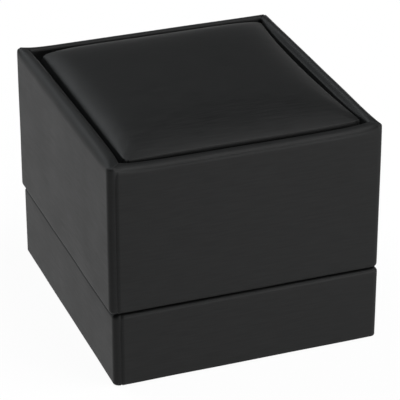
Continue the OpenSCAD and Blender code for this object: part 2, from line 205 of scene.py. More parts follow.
# The sheet's two ends meet on the front wall, this far from the left corner, in a narrow
# open joint. The end that comes round the corner lies a little lower
JOINT_AT = 1.5
JOINT_HALF = 0.16
JOINT_DEPTH = 0.33
JOINT_FADE = 1.2
END_DROP = 0.1
# On the front wall this is 1, and 0 a corner's radius behind it. The joint begins here
ON_FRONT = 0.6
TURN_IN = 8.0
SEAM_R = 0.4
TOP_R = 0.85
ROUND_STEPS = 5
# Rows up the base's wall, as shares of its height
BASE_ROWS = (0.2, 0.35, 0.5, 0.65, 0.8)
# How far the glued sheet rises and sinks over the base's boards, and how often
BASE_UNEVEN = 0.05
UNEVEN_PER_MM = 0.09
# The fold hangs this far over the table, from just outside the sheet under the base
FOOT_SAG = 0.08
SHEET_EDGE = 1.4
# The lid sits a little to the left on its collar
SIDE_SLIP = 0.18
# Extra rows beside each corner, as shares of the straight side, and the even ones between
SIDE_SHARES = (0.0055, 0.0085, 0.012, 0.017, 0.024, 0.034, 0.05, 0.075, 0.11, 0.16, 0.22,
               0.29, 0.36, 0.44)

# The hinge's axis and the cuts that it needs in the covering, in millimetres
AXIS_Y = 28.57
SEAM_Z = 15.8
BEVEL_ANGLE = math.radians(48.5)
NOTCH_R = 1.24
NOTCH_HALF = 17.5
WINDOW_H = 5.25
WINDOW_BACK = 0.9
CUT_REACH = 2.0
# How far from a cut a point may lie to be on it, and to be taken for its edge
CUT_SPOT = 1e-5
CUT_EDGE = 1e-3


def leatherette():
    """Black satin leatherette, read along the sheet's own UV map in metres."""
    material, tree, shader = new_finish("black_leatherette", LEATHER_SMOOTH)
    shader.inputs["Specular IOR Level"].default_value = LEATHER_GLOSS
    shader.inputs["Anisotropic"].default_value = LEATHER_STRETCH
    shader.inputs["Anisotropic Rotation"].default_value = QUARTER_TURN
    sheet = add(tree, "ShaderNodeUVMap", uv_map="sheet").outputs["UV"]
    along = add(tree, "ShaderNodeTangent", direction_type="UV_MAP", uv_map="sheet")
    tree.links.new(along.outputs["Tangent"], shader.inputs["Tangent"])
    grain = speckle(tree, sheet, GRAIN_PER_METRE, 4, stretch=GRAIN_LENGTHENED)
    cloud = speckle(tree, sheet, CLOUD_PER_METRE, 3)
    fleck = speckle(tree, sheet, FLECK_PER_METRE, 1)
    colour = two_tone(tree, grain, 0.35, 0.68, LEATHER_BLACK, LEATHER_WORN)
    tree.links.new(colour, shader.inputs["Base Color"])
    rough = add(tree, "ShaderNodeMath", operation="ADD")
    tree.links.new(spread(tree, grain, -GRAIN_ROUGH, GRAIN_ROUGH), rough.inputs[0])
    tree.links.new(spread(tree, cloud, LEATHER_SMOOTH, LEATHER_ROUGH), rough.inputs[1])
    tree.links.new(rough.outputs["Value"], shader.inputs["Roughness"])
    emboss(tree, shader, (cloud, CLOUD_DEPTH), (fleck, FLECK_DEPTH), (grain, GRAIN_DEPTH))
    return material


def rounded(inset, height, radius, start, end, steps=ROUND_STEPS):
    """Levels round an edge, as (inset, height), from one angle to the other."""
    turns = [start + (end - start) * i / steps for i in range(steps + 1)]
    return [(inset - radius * math.cos(math.radians(t)),
             height + radius * math.sin(math.radians(t))) for t in turns]


def corner_point(low, high, corner, turn, inset, corner_rs, fold_r):
    """A point of the plan outline on the arc of one corner, turn going from 0 to 1."""
    radius = max(corner_rs[corner] - inset, fold_r)
    side_x, side_y = ((1, -1), (1, 1), (-1, 1), (-1, -1))[corner]
    middle_x, middle_y = (low.x + high.x) / 2, (low.y + high.y) / 2
    half_x, half_y = (high.x - low.x) / 2, (high.y - low.y) / 2
    angle = math.radians(90 * (corner - 1 + turn))
    return Vector((middle_x + side_x * (half_x - inset - radius) + radius * math.cos(angle),
                   middle_y + side_y * (half_y - inset - radius) + radius * math.sin(angle)))


def draw_out(bm, edges):
    """Draws an open edge out by one row, and returns the new open edge and its points."""
    made = bmesh.ops.extrude_edge_only(bm, edges=edges)["geom"]
    edges = [e for e in made if isinstance(e, bmesh.types.BMEdge) and e.is_boundary]
    return edges, [v for v in made if isinstance(v, bmesh.types.BMVert)]


def wrap_round(low, high, levels, corner_rs=CORNER_RS, fold_r=FOLD_R, arc_steps=6,
               form=None):
    """A sheet wrapped round a rectangle: a ring of points at each level, drawn out from the
    one before. Its layers hold each point's column, its level, and its place on the sheet.
    form may change the inset and the height of a level along the sides."""
    columns = []
    for corner in range(4):
        columns += [(corner, step / arc_steps, 0) for step in range(arc_steps + 1)]
        shares = SIDE_SHARES + tuple(1 - s for s in reversed(SIDE_SHARES))
        columns += [(corner, 1, share) for share in shares]

    def place(column, level):
        corner, turn, share = columns[column]
        inset, height = levels[level]
        if form:
            inset, height = form(corner, share, inset, height)
        spot = corner_point(low, high, corner, turn, inset, corner_rs, fold_r)
        if share:
            far = corner_point(low, high, (corner + 1) % 4, 0, inset, corner_rs, fold_r)
            spot = spot.lerp(far, share)
        return Vector((spot.x, spot.y, height))

    bm = bmesh.new()
    column_layer = bm.verts.layers.int.new("column")
    level_layer = bm.verts.layers.int.new("level")
    ring = []
    for i in range(len(columns)):
        point = bm.verts.new(place(i, 0))
        point[column_layer] = i
        ring.append(point)
    edges = [bm.edges.new((ring[i], ring[(i + 1) % len(ring)])) for i in range(len(ring))]
    for level in range(1, len(levels)):
        edges, points = draw_out(bm, edges)
        for point in points:
            point[level_layer] = level
            point.co = place(point[column_layer], level)
    # The sheet's own map: along the perimeter, and along the section
    along, across = [0.0], [0.0]
    widest = min(range(len(levels)), key=lambda n: levels[n][0])
    for i in range(1, len(columns) + 1):
        step = place(i % len(columns), widest) - place(i - 1, widest)
        along.append(along[-1] + step.length * MM)
    for n in range(1, len(levels)):
        step = Vector(levels[n]) - Vector(levels[n - 1])
        across.append(across[-1] + step.length * MM)
    uv = bm.loops.layers.uv.new("sheet")
    for face in bm.faces:
        found = [corner.vert[column_layer] for corner in face.loops]
        wraps = max(found) - min(found) > 1
        for corner in face.loops:
            column = corner.vert[column_layer]
            if wraps and column == 0:
                column = len(columns)
            corner[uv].uv = (along[column], across[corner.vert[level_layer]])
    return bm, columns, column_layer, level_layer


def finish_piece(name, bm, material, body, scale=MM, smooth=True):
    """Turns a bmesh in millimetres into a piece in metres that rides on a body."""
    bmesh.ops.scale(bm, vec=(scale,) * 3, verts=bm.verts)
    mesh = bpy.data.meshes.new(name)
    bm.to_mesh(mesh)
    bm.free()
    mesh.materials.append(material)
    for face in mesh.polygons:
        face.use_smooth = smooth
    piece = bpy.data.objects.new(name, mesh)
    bpy.context.scene.collection.objects.link(piece)
    if body:
        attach(piece, body)
    return piece


def thicken(piece, thickness):
    """Gives a sheet its thickness on its inner side, and keeps its flat faces flat."""
    wall = piece.modifiers.new("thickness", "SOLIDIFY")
    wall.thickness = thickness * MM
    wall.offset = -1
    wall.use_even_offset = True
    shade = piece.modifiers.new("flat_faces", "WEIGHTED_NORMAL")
    shade.keep_sharp = True


def cut_back_edge(bm, up):
    """Cuts the wedge from the back edge along the seam, so that the lid can swing, and the
    room for the hinge's barrel and leaf. up is 1 for the lid and -1 for the base."""
    axis = Vector((0, AXIS_Y, SEAM_Z))
    away = Vector((0, math.sin(BEVEL_ANGLE), -up * math.cos(BEVEL_ANGLE)))
    bmesh.ops.bisect_plane(bm, geom=bm.verts[:] + bm.edges[:] + bm.faces[:], dist=CUT_SPOT,
                           plane_co=axis, plane_no=away, clear_outer=True)
    rim = [e for e in bm.edges if e.is_boundary
           and all(abs((v.co - axis).dot(away)) < CUT_EDGE for v in e.verts)]
    fold = bmesh.ops.holes_fill(bm, edges=rim, sides=0)["faces"]
    uv = bm.loops.layers.uv["sheet"]
    for face in fold:
        for corner in face.loops:
            corner[uv].uv = (-corner.vert.co.x * MM, corner.vert.co.z * MM)

    def split(co, no):
        """Splits the faces round the hinge's room along a plane."""
        faces = [f for f in bm.faces if f.calc_center_median().y > AXIS_Y - CUT_REACH
                 and abs(f.calc_center_median().z - SEAM_Z) < TURN_IN]
        geom = set(faces)
        for f in faces:
            geom.update(f.edges)
            geom.update(f.verts)
        bmesh.ops.bisect_plane(bm, geom=list(geom), dist=CUT_SPOT, plane_co=co, plane_no=no)

    split((-NOTCH_HALF, 0, 0), (1, 0, 0))
    split((NOTCH_HALF, 0, 0), (1, 0, 0))
    slope = Vector((0, math.cos(BEVEL_ANGLE), up * math.sin(BEVEL_ANGLE)))
    split(axis + slope * NOTCH_R, slope)
    split((0, 0, SEAM_Z + up * WINDOW_H), (0, 0, 1))

    def in_room(face):
        """Whether a face lies where the hinge's barrel or leaf has to go."""
        middle = face.calc_center_median()
        beside = abs(middle.x) < NOTCH_HALF and middle.y > AXIS_Y - WALL_T
        barrel = (Vector((0, middle.y, middle.z)) - axis).length < NOTCH_R
        leaf = middle.y < AXIS_Y - WINDOW_BACK and abs(middle.z - SEAM_Z) < WINDOW_H
        return beside and (barrel or leaf)

    gone = [f for f in bm.faces if in_room(f)]
    bmesh.ops.delete(bm, geom=gone, context="FACES")
    bmesh.ops.triangulate(bm, faces=[f for f in bm.faces if len(f.verts) > 4])


def settle_walls(bm, amount):
    """Lets the glued sheet rise and sink a little, as it does over board."""
    for point in bm.verts:
        push = noise.noise(point.co * UNEVEN_PER_MM) * amount
        point.co += point.normal * push


def join_ends(bm, columns, column_layer, low, top):
    """Presses the joint of the sheet's ends into the front wall. It fades out under top."""
    for point in bm.verts:
        corner, _, share = columns[point[column_layer]]
        on_front = 1 - (point.co.y - low.y) / CORNER_RS[3]
        fade = min(1, max(0, (top - point.co.z) / JOINT_FADE))
        if corner != 3 or on_front <= 0:
            continue
        place = SIDE_SHARES.index(share) if share in SIDE_SHARES[:3] else -1
        if share == 0 or place == 0:
            point.co.y += END_DROP * min(1, on_front) * fade
        if place >= 0 and on_front > ON_FRONT:
            beside = low.x + JOINT_AT + (place - 1) * JOINT_HALF
            point.co.x += (beside - point.co.x) * fade
            if place == 1:
                point.co.y += JOINT_DEPTH * fade


black_leatherette = leatherette()
base_low, base_high = (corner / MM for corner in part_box("base_wrap"))
foot, top = base_low.z, base_high.z
base_levels = [(TURN_IN, foot), (TURN_IN / 2, foot), (SHEET_EDGE, foot)]
base_levels += rounded(SEAM_R, FOOT_SAG + SEAM_R, SEAM_R, -90, 0)
base_levels += [(0, foot + (top - foot) * share) for share in BASE_ROWS]
base_levels += rounded(TOP_R, top - TOP_R, TOP_R, 0, 90)
base_levels += [(WALL_T - SEAM_R, top), (WALL_T, top - SEAM_R), (WALL_T, top - TURN_IN)]
slip = Vector((SIDE_SLIP, 0, 0))
bm, columns, column_layer, _ = wrap_round(base_low + slip, base_high + slip, base_levels)
bmesh.ops.recalc_face_normals(bm, faces=bm.faces)
settle_walls(bm, BASE_UNEVEN)
join_ends(bm, columns, column_layer, base_low + slip, top + JOINT_FADE)
cut_back_edge(bm, -1)
base_covering = finish_piece("base_covering", bm, black_leatherette, "base")
thicken(base_covering, SHEET_T)
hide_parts("base_wrap")

# ---- Sheet under the base ----
# Plain black paper, cut a little smaller than the base and glued over the turned-in edges
# of the covering. The box stands on it.

PAPER_BLACK = (0.012, 0.012, 0.012, 1)
PAPER_FIBRE = (0.024, 0.023, 0.022, 1)
PAPER_FIBRES_PER_METRE, PAPER_DEPTH = 1400, 0.00002

foot_paper = pulp_board("foot_paper", PAPER_BLACK, PAPER_FIBRE, PAPER_FIBRES_PER_METRE,
                        PAPER_DEPTH)
dress(foot_paper, "base_bottom_sheet")

# ---- Collar ----
# A strip of white card folded into four walls, which stands up into the lid and centres
# it. Black suede paper covers both of its faces and its top edge.

CARD_WHITE = (0.75, 0.73, 0.68, 1)
CARD_SHADE = (0.60, 0.58, 0.53, 1)
CARD_FIBRES_PER_METRE, CARD_DEPTH = 1500, 0.00001
SUEDE_BLACK = (0.010, 0.010, 0.010, 1)
SUEDE_NAP = (0.022, 0.021, 0.021, 1)
SUEDE_SHEEN = 0.25
SUEDE_DEPTH = 0.00002
NAP_ROUGH = 0.95
NAP_GLOSS = 0.1
SHEEN_ROUGH = 0.4
PILE_PER_METRE = 2600
# The pile lies over in patches, which stand deeper than the pile itself
PATCHES_PER_METRE = 120
PATCH_DEPTH = 4
# The collar with its paper, in millimetres
COLLAR_T = 1.8
SUEDE_T = 0.3
COLLAR_R = 0.7
COLLAR_FOLD_R = 0.3


def napped(name, dark, light, sheen, depth):
    """Suede or velvet: a dull pile that is paler at a glancing angle."""
    material, tree, shader = new_finish(name, NAP_ROUGH)
    shader.inputs["Specular IOR Level"].default_value = NAP_GLOSS
    shader.inputs["Sheen Weight"].default_value = sheen
    shader.inputs["Sheen Roughness"].default_value = SHEEN_ROUGH
    place = add(tree, "ShaderNodeTexCoord").outputs["Object"]
    pile = speckle(tree, place, PILE_PER_METRE, 4)
    brushed = speckle(tree, place, PATCHES_PER_METRE, 3)
    # The colour goes by the mean of the pile and its patches
    half = add(tree, "ShaderNodeMath", {1: 0.5}, operation="MULTIPLY")
    tree.links.new(brushed, half.inputs[0])
    both = add(tree, "ShaderNodeMath", {1: 0.5}, operation="MULTIPLY_ADD")
    tree.links.new(pile, both.inputs[0])
    tree.links.new(half.outputs["Value"], both.inputs[2])
    colour = two_tone(tree, both.outputs["Value"], 0.4, 0.62, dark, light)
    tree.links.new(colour, shader.inputs["Base Color"])
    emboss(tree, shader, (brushed, depth * PATCH_DEPTH), (pile, depth))
    return material


def laid_over(start, end, thickness, radius):
    """Levels of a sheet that lies on both faces of a wall, and round its edge at end."""
    if end > start:
        edge = rounded(radius, end - radius, radius, 0, 90)
    else:
        edge = list(reversed(rounded(radius, end + radius, radius, -90, 0)))
    halfway = (start + end) / 2
    inside = [(thickness - inset, height) for inset, height in reversed(edge)]
    return ([(0, start), (0, halfway)] + edge + inside
            + [(thickness, halfway), (thickness, start)])


white_card = pulp_board("white_card", CARD_SHADE, CARD_WHITE, CARD_FIBRES_PER_METRE,
                        CARD_DEPTH)
dress(white_card, "collar_card", "ring_pad_card", "cushion_card", "lid_pad_card")
suede_paper = napped("suede_paper", SUEDE_BLACK, SUEDE_NAP, SUEDE_SHEEN, SUEDE_DEPTH)
collar_low, collar_high = (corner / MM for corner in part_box("collar_suede"))
collar_levels = laid_over(collar_low.z, collar_high.z, COLLAR_T, COLLAR_T / 2 - SUEDE_T)
bm, *_ = wrap_round(collar_low, collar_high, collar_levels, corner_rs=(COLLAR_R,) * 4,
                    fold_r=COLLAR_FOLD_R)
bmesh.ops.recalc_face_normals(bm, faces=bm.faces)
collar_paper = finish_piece("collar_paper", bm, suede_paper, "base")
thicken(collar_paper, SUEDE_T)
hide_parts("collar_suede")

# ---- Ring pads ----
# Two pads of foam covered in black velvet, side by side on a card. The ring stands in
# the slot between them.

VELVET_BLACK = (0.006, 0.006, 0.0065, 1)
VELVET_PILE = (0.016, 0.016, 0.017, 1)
VELVET_SHEEN = 0.6
VELVET_DEPTH = 0.00005

# A pad's sides are drawn in this far halfway, and its cloth swells up to this far, all in
# millimetres
PAD_DRAWS = (0.4, 0.4, 0.4, 0.4)
PAD_RISE = 5
PAD_SWELL = 0.3
PAD_PRESSURE = 4
# How far a stuffed form's edge rolls over its sides, and how many rows its hem has
EDGE_ROLL = 0.1
HEM_ROWS = 3
# Shares of the half width past which a point is at a corner of the plan, and on its edge
AT_CORNER = 0.97
ON_EDGE = 0.9999
# How much of its place a corner's point keeps, and how narrow the pull on its tip is
CORNER_KEPT = 0.992
TIP_NARROW = 4
# How fast the hold on the cloth grows from the top of a side to its foot, where 1 is fast
HOLD_RISE = 1.4
# Millimetres between a form's foot and its last row, where they are joined
FOOT_JOIN = 0.005
# Cloth is simulated at this many times the real size, where Blender's forces suit it
CLOTH_SCALE = 20
CLOTH_FRAMES = 20


def stuffed(low, high, crown_rise, draws, cells, side_rows, hem=None, flat=3, edge=0.75,
            pulls=((0, 0),) * 4, front=None):
    """A stuffed form over a rectangle: a crowned top, an edge that rolls over, sides drawn in
    at their middles under it, and a foot or a hem. draws holds right, back, left and front,
    pulls moves the tips of the corners, and front holds the front's own flat and edge. Its
    map is the cover's, folded down over the sides."""
    bm = bmesh.new()
    bmesh.ops.create_grid(bm, x_segments=cells[0], y_segments=cells[1], size=1)
    u_layer = bm.verts.layers.float.new("u")
    v_layer = bm.verts.layers.float.new("v")
    out_x = bm.verts.layers.float.new("out_x")
    out_y = bm.verts.layers.float.new("out_y")
    back_x = bm.verts.layers.float.new("back_x")
    back_y = bm.verts.layers.float.new("back_y")
    pin = bm.verts.layers.float.new("pin")
    middle = (low + high) / 2
    half_x, half_y = (high.x - low.x) / 2, (high.y - low.y) / 2
    shoulder = high.z - crown_rise
    for point in bm.verts:
        u, v = (math.sin(math.radians(90 * t)) for t in point.co.xy)
        # The corner of the plan is rounded a little
        u_in, v_in = u, v
        if abs(u) > AT_CORNER and abs(v) > AT_CORNER:
            u_in, v_in = u * CORNER_KEPT, v * CORNER_KEPT
        flat_v, edge_v = front if front and v < 0 else (flat, edge)
        rise = max(0, 1 - abs(u) ** flat) ** edge * max(0, 1 - abs(v) ** flat_v) ** edge_v
        point[out_x] = math.copysign(1, u) if abs(u) > ON_EDGE else 0
        point[out_y] = math.copysign(1, v) if abs(v) > ON_EDGE else 0
        quarter = (0 if v < 0 else 1) if u > 0 else (3 if v < 0 else 2)
        tip = (abs(u) * abs(v)) ** TIP_NARROW
        x = u_in * (half_x - draws[0 if u > 0 else 2] * (1 - v * v) - EDGE_ROLL)
        y = v_in * (half_y - draws[1 if v > 0 else 3] * (1 - u * u) - EDGE_ROLL)
        x += pulls[quarter][0] * tip
        y += pulls[quarter][1] * tip
        if max(abs(u), abs(v)) > ON_EDGE:
            point[back_x] = u_in * (half_x - EDGE_ROLL) - x
            point[back_y] = v_in * (half_y - EDGE_ROLL) - y
        point[u_layer], point[v_layer] = (middle.x + x) * MM, (middle.y + y) * MM
        point[pin] = 0
        point.co = Vector((middle.x + x, middle.y + y, shoulder + rise * crown_rise))
    edges = [e for e in bm.edges if e.is_boundary]
    crown = bm.faces[:]
    depth = shoulder - low.z
    rows = [(EDGE_ROLL, depth * (i + 1) / side_rows) for i in range(side_rows)]
    if hem:
        rows += [(EDGE_ROLL - hem * (i + 1) / HEM_ROWS, depth) for i in range(HEM_ROWS)]
    before = (0, 0)
    for outward, drop in rows:
        edges, points = draw_out(bm, edges)
        for point in points:
            away = Vector((point[out_x], point[out_y], 0))
            back = Vector((point[back_x], point[back_y], 0)) / depth
            point.co += away * (outward - before[0]) + back * (drop - before[1])
            point.co.z -= drop - before[1]
            point[u_layer] += point[out_x] * math.dist(before, (outward, drop)) * MM
            point[v_layer] += point[out_y] * math.dist(before, (outward, drop)) * MM
            point[pin] = min(1, HOLD_RISE * drop / depth)
        before = (outward, drop)
    if not hem:
        # The foot is a flat copy of the crown's own grid, joined to the last row
        copied = bmesh.ops.duplicate(bm, geom=crown)["geom"]
        for point in [v for v in copied if isinstance(v, bmesh.types.BMVert)]:
            point.co.x += point[out_x] * before[0] + point[back_x]
            point.co.y += point[out_y] * before[0] + point[back_y]
            point.co.z = low.z
            point[pin] = 1
        bmesh.ops.remove_doubles(bm, verts=bm.verts, dist=FOOT_JOIN)
    uv = bm.loops.layers.uv.new("sheet")
    for face in bm.faces:
        for corner in face.loops:
            corner[uv].uv = (corner.vert[u_layer], corner.vert[v_layer])
    bmesh.ops.recalc_face_normals(bm, faces=bm.faces)
    return bm


def swell(bm, pressure, most, stiffness=12, wrinkle=0.5):
    """Blows up a stuffed form as cloth held along its foot, where no point moves
    further than most."""
    pins = [point[bm.verts.layers.float["pin"]] for point in bm.verts]
    start = [point.co.copy() for point in bm.verts]
    middle = sum(start, Vector()) / len(start)
    mesh = bpy.data.meshes.new("cloth")
    bm.to_mesh(mesh)
    for vertex, spot in zip(mesh.vertices, start):
        vertex.co = (spot - middle) * MM * CLOTH_SCALE
    cloth = bpy.data.objects.new("cloth", mesh)
    bpy.context.scene.collection.objects.link(cloth)
    group = cloth.vertex_groups.new(name="held")
    for i, weight in enumerate(pins):
        group.add([i], weight, "REPLACE")
    modifier = cloth.modifiers.new("cloth", "CLOTH")
    settings = modifier.settings
    settings.quality = 6
    settings.mass = 0.3
    settings.tension_stiffness = stiffness
    settings.compression_stiffness = stiffness
    settings.shear_stiffness = stiffness / 2
    settings.bending_stiffness = wrinkle
    settings.use_pressure = True
    settings.uniform_pressure_force = pressure
    settings.vertex_group_mass = "held"
    settings.effector_weights.gravity = 0
    modifier.collision_settings.use_collision = False
    modifier.collision_settings.use_self_collision = False
    scene = bpy.context.scene
    modifier.point_cache.frame_start = 1
    modifier.point_cache.frame_end = CLOTH_FRAMES
    for step in range(1, CLOTH_FRAMES + 1):
        scene.frame_set(step)
    done = cloth.evaluated_get(bpy.context.evaluated_depsgraph_get()).data
    for point, vertex, spot in zip(bm.verts, done.vertices, start):
        move = vertex.co / (MM * CLOTH_SCALE) + middle - spot
        point.co = spot + move * min(1, most / max(move.length, 1e-9))
    bpy.data.objects.remove(cloth)
    scene.frame_set(1)


def soften(piece):
    """One round of subdivision over the simulated mesh."""
    smooth = piece.modifiers.new("smooth", "SUBSURF")
    smooth.levels = 1
    smooth.render_levels = 1


velvet = napped("velvet", VELVET_BLACK, VELVET_PILE, VELVET_SHEEN, VELVET_DEPTH)
for name in ("ring_pad_front", "ring_pad_rear"):
    pad_low, pad_high = (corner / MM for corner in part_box(name))
    bm = stuffed(pad_low, pad_high - Vector((0, 0, PAD_SWELL)), PAD_RISE, PAD_DRAWS,
                 cells=(46, 24), side_rows=10)
    swell(bm, PAD_PRESSURE, PAD_SWELL)
    pad = finish_piece("velvet_" + name, bm, velvet, "base")
    soften(pad)
    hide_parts(name)

# ---- Hinge ----
# Two stamped leaves of nickel-plated steel with rolled knuckles on one pin, held by tacks
# in the back boards. A bow spring hooks over a lip of each leaf and bends as the lid turns.

STEEL = (0.56, 0.55, 0.52, 1)
STEEL_DULL = (0.40, 0.39, 0.37, 1)
STEEL_SMOOTH, STEEL_ROUGH = 0.24, 0.42
# Faint rolling marks along it, and duller patches
MARKS_PER_METRE, MARK_DEPTH = 4000, 0.000004
MARKS_LENGTHENED = (0.06, 1, 1)
DULLING_PER_METRE = 300
# So that the spring can bend, it is cut across in rows up and down from the seam, this many
# millimetres apart
SPRING_ROWS = 8
SPRING_ROW_GAP = 0.6
# Points of a CAD mesh closer than this, in metres, are one
CAD_SPOT = 1e-7


def plated_steel():
    """Nickel-plated steel with faint rolling marks along the hinge."""
    material, tree, shader = new_finish("plated_steel", STEEL_SMOOTH)
    shader.inputs["Metallic"].default_value = 1
    place = add(tree, "ShaderNodeTexCoord").outputs["Object"]
    marks = speckle(tree, place, MARKS_PER_METRE, 3, stretch=MARKS_LENGTHENED)
    dulling = speckle(tree, place, DULLING_PER_METRE, 3)
    tree.links.new(two_tone(tree, dulling, 0.4, 0.6, STEEL_DULL, STEEL),
                   shader.inputs["Base Color"])
    tree.links.new(spread(tree, marks, STEEL_SMOOTH, STEEL_ROUGH), shader.inputs["Roughness"])
    emboss(tree, shader, (marks, MARK_DEPTH))
    return material


steel = plated_steel()
dress(steel, "hinge_base_leaf", "hinge_lid_leaf", "hinge_pin", "hinge_base_tacks",
      "hinge_lid_tacks")


def cad_mesh(name):
    """A CAD node's own mesh, in metres, with its points joined."""
    bm = bmesh.new()
    bm.from_mesh(nodes[name].data)
    bmesh.ops.remove_doubles(bm, verts=bm.verts, dist=CAD_SPOT)
    return bm


bm = cad_mesh("hinge_spring")
for step in range(-SPRING_ROWS, SPRING_ROWS + 1):
    cut_z = (SEAM_Z + step * SPRING_ROW_GAP) * MM
    bmesh.ops.bisect_plane(bm, geom=bm.verts[:] + bm.edges[:] + bm.faces[:], dist=CAD_SPOT,
                           plane_co=(0, 0, cut_z), plane_no=(0, 0, 1))
bow_spring = finish_piece("bow_spring", bm, steel, None, scale=1, smooth=False)
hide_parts("hinge_spring")
# It bends from 4 mm under the axis to 4 mm over it
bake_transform(bow_spring, "base", "lid",
         start=(0, AXIS_Y * MM, 0.0118), end=(0, AXIS_Y * MM, 0.0198))

# ---- Covering of the lid ----
# One sheet of the same leatherette round the lid's walls. It is turned over the rim down
# into the recess, with folded mitres at the four corners, and in over the lower edge.

RIM_R = 1.7
RIM_STEPS = 8
MOUTH_R = 0.6
FOOT_R = 1.0
RECESS_DEPTH = 3.9
# How far under the rim its own rows are, on both sides and in the recess's mouth, and the
# rows down the wall as shares of its height
RIM_BAND, MOUTH_BAND = 2.6, 1.5
LID_ROWS = (0.13, 0.2, 0.3, 0.4, 0.5, 0.6, 0.7, 0.8, 0.88, 0.94)
# How far the glued sheet rises and sinks over the lid's boards
LID_UNEVEN = 0.06
# The joint of the sheet's ends begins this far under the rim
JOINT_TOP = 1.0

# Height of the rim's corners over its even level: right front, right back, left back, left
# front. Then the radius of the outer edge at each, and how far along the sides both reach
EARS = (-0.05, 0.10, 0.30, -0.05)
EAR_RS = (0.7, 1.6, 0.7, 0.7)
EAR_REACH = 2.0
# Height of the rim along each side, and what is added halfway: right, back, left, front.
# It fades out this far down, and the bow is the flatter halfway the higher its power
RIM_LIFTS = (0.28, 0.10, 0.25, -0.50)
RIM_BOWS = (0.0, 0.05, 0.15, -0.20)
LIFT_FADE = 2.5
BOW_POWER = 2.5
# How much further each side's inner edge reaches over the recess
RIM_SPREADS = (0.3, 0.0, 0.35, 0.0)
# How much each side's inner edge falls away towards the recess, from this inset on
RIM_FALLS = (0.9, 0.1, 0.0, 0.0)
FALL_FROM = 1.1
BREADTH_POWER = 6

# Depth of the fold's crease across the rim: right front, right back, left back, left front
CREASES = (0.30, 0.30, 0.35, 0.08)
# A crease shows this far down, is full this far in, and takes this share of the corner
CREASE_DOWN = 0.7
CREASE_IN = 0.7
CREASE_HALF = 0.3
# Its depth is the first share of the full one, and the second goes with the noise
CREASE_EVEN, CREASE_UNEVEN = 0.75, 0.6
# How far the folds fill the recess's near left corner, and how far along the front. This
# goes down to the recess's lowest row, with a little room for rounding
CORNER_FILL = 0.7
FILL_REACH = 3.0
FLOOR_ROOM = 0.1


def rim_form(corner, share, inset, height):
    """The rim as it was made by hand: sharper at the corners, where the folds were pulled
    tight, and with its own height and breadth at each corner and along each side."""
    length = (lid_high - lid_low)[(corner + 1) % 2]
    before = math.exp(-share * length / EAR_REACH)
    after = math.exp(-(1 - share) * length / EAR_REACH) if share else 0
    drop = rim - height
    if inset <= RIM_R and drop <= RIM_R:
        sharp = (1 - EAR_RS[corner] / RIM_R) * before
        sharp += (1 - EAR_RS[(corner + 1) % 4] / RIM_R) * after
        tight = 1 - min(1, sharp)
        inset, drop = inset * tight, drop * tight
    bowed = RIM_LIFTS[corner] + RIM_BOWS[corner] * (1 - abs(2 * share - 1) ** BOW_POWER)
    lift = bowed + (EARS[corner] - bowed) * before + (EARS[(corner + 1) % 4] - bowed) * after
    if share:
        along = 1 - abs(2 * share - 1) ** BREADTH_POWER
        inset += RIM_SPREADS[corner] * along * min(1, inset / WALL_T) ** 2
        slope = max(0, inset - FALL_FROM) / (WALL_T - FALL_FROM)
        fall = RIM_FALLS[corner] * along
        drop += fall * min(1, slope) ** 2 * max(0, 1 - drop / LIFT_FADE)
    return inset, rim - drop + lift * max(0, 1 - drop / LIFT_FADE)


lid_low, lid_high = (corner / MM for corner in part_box("lid_wrap"))
rim, seam = lid_high.z, lid_low.z
lid_levels = [(WALL_T, rim - down) for down in (RECESS_DEPTH, RIM_BAND, MOUTH_BAND)]
lid_levels += [(WALL_T - i, z) for i, z in rounded(MOUTH_R, rim - MOUTH_R, MOUTH_R, 0, 90)]
lid_levels += list(reversed(rounded(RIM_R, rim - RIM_R, RIM_R, 0, 90, RIM_STEPS)))
lid_levels += [(0, rim - RIM_BAND)]
lid_levels += [(0, rim - (rim - seam) * share) for share in LID_ROWS]
lid_levels += list(reversed(rounded(FOOT_R, seam + FOOT_R, FOOT_R, -90, 0)))
lid_levels += [(WALL_T - SEAM_R, seam), (WALL_T, seam + SEAM_R), (WALL_T, seam + TURN_IN)]
lid_low, lid_high = lid_low - slip, lid_high - slip
bm, columns, column_layer, level_layer = wrap_round(lid_low, lid_high, lid_levels,
                                                    form=rim_form)
bmesh.ops.recalc_face_normals(bm, faces=bm.faces)
settle_walls(bm, LID_UNEVEN)
for point in bm.verts:
    corner, turn, share = columns[point[column_layer]]
    inset, height = lid_levels[point[level_layer]]
    if height > rim - RECESS_DEPTH - FLOOR_ROOM:
        # The folds fill the recess's near left corner
        near = share ** 2 if corner == 2 else 0
        if corner == 3:
            near = math.exp(-share * (lid_high.x - lid_low.x) / FILL_REACH)
        point.co.x += CORNER_FILL * near * min(1, inset / WALL_T) ** 2
    if share == 0 and height > rim - CREASE_DOWN:
        # The crease runs down the middle of the corner, and its depth wanders a little
        middle = 1 - min(1, abs(turn - 0.5) / CREASE_HALF)
        wander = noise.noise(Vector((inset * 2.1, corner * 7.3, 0.4)))
        deep = CREASES[corner] * (CREASE_EVEN + CREASE_UNEVEN * wander)
        point.co.z -= middle * (deep * min(1, inset / CREASE_IN))
join_ends(bm, columns, column_layer, lid_low, rim - JOINT_TOP)
cut_back_edge(bm, 1)
lid_covering = finish_piece("lid_covering", bm, black_leatherette, "lid")
thicken(lid_covering, SHEET_T)
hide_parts("lid_wrap")

# ---- Front board of the lid ----
# The same grey board, trimmed a little lower than the other three by hand, so that the
# front rim is low.

# In millimetres
FRONT_TRIM = 0.55

bm = cad_mesh("lid_front_board")
bmesh.ops.dissolve_limit(bm, angle_limit=SAME_PLANE, verts=bm.verts, edges=bm.edges)
board_top = max(point.co.z for point in bm.verts)
for point in bm.verts:
    if point.co.z > board_top - RIM_R * MM:
        point.co.z -= FRONT_TRIM * MM
front_board = finish_piece("lid_front_board_trimmed", bm, grey_board, "lid",
                           scale=1, smooth=False)
sand_corners(front_board)
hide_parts("lid_front_board")

